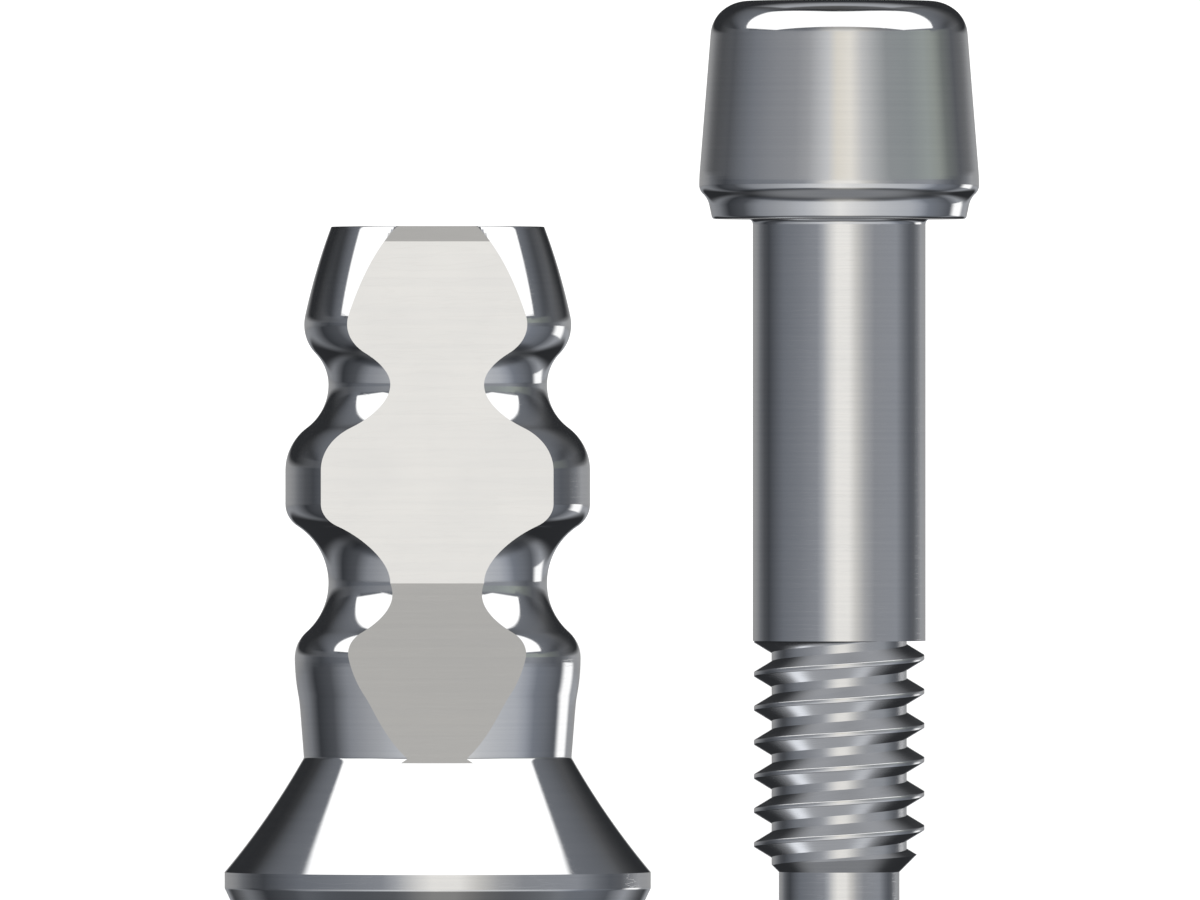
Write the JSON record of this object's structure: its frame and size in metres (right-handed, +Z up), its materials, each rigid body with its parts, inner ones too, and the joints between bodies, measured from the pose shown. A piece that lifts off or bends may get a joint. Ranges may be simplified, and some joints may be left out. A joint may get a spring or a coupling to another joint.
{
  "type": "impression coping with guide screw",
  "caption": "Flared and waved metal impression coping with side flats and a through bore, with its round-headed guide screw standing beside it.",
  "frame": {"origin": "on the coping's axis, in the plane of its seat, where an implant's platform would meet it", "axes": "+Z up the coping's axis towards its open top; +X towards the guide screw standing beside it; -Y towards the viewer, square to the front flat"},
  "size_m": [0.0089, 0.005, 0.0114],
  "materials": {
    "polished_coping": "fine-turned and polished titanium",
    "polished_screw": "fine-turned and polished titanium"
  },
  "bodies": {
    "root": {"coping": "polished_coping", "guide_screw": "polished_screw"}
  },
  "joints": []
}
